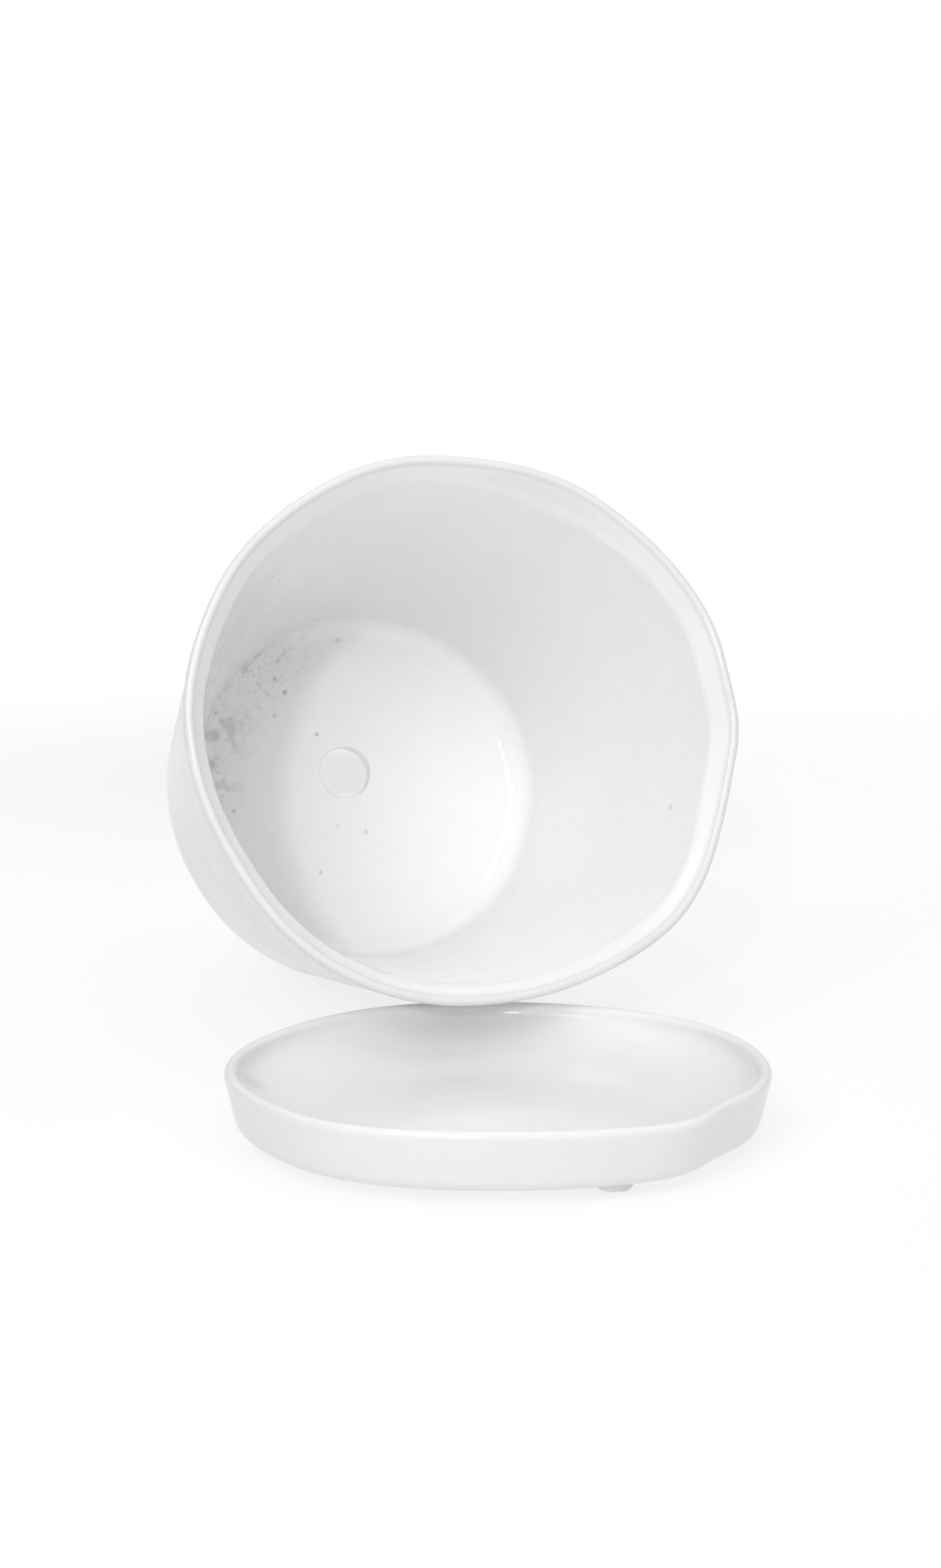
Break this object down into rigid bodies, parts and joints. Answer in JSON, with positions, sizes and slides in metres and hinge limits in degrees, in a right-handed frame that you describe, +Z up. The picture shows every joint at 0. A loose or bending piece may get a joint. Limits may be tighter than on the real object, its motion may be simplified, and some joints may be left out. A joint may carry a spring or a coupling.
{
  "type": "plant pot with saucer",
  "caption": "Hand-formed white glazed stoneware plant pot with a drain hole, lying tipped with its wall on the rim of a matching shallow saucer with stick-on feet.",
  "frame": {"origin": "on the table, at the middle of the bounding box's footprint", "axes": "+Z up; -Y is the side that the pot's mouth faces; +X to the right as seen from that side"},
  "size_m": [0.165, 0.2768, 0.1623],
  "materials": {
    "white_glaze": "gloss",
    "clear_rubber": "satin"
  },
  "bodies": {
    "saucer": {"saucer": "white_glaze", "foot_front_right": "clear_rubber", "foot_back_right": "clear_rubber", "foot_left": "clear_rubber"},
    "pot": {"pot": "white_glaze"}
  },
  "joints": [
    {"name": "pot_lift", "type": "slide", "parent": "saucer", "child": "pot", "axis": [0, 0, 1], "range_m": [0, 0.15]}
  ]
}
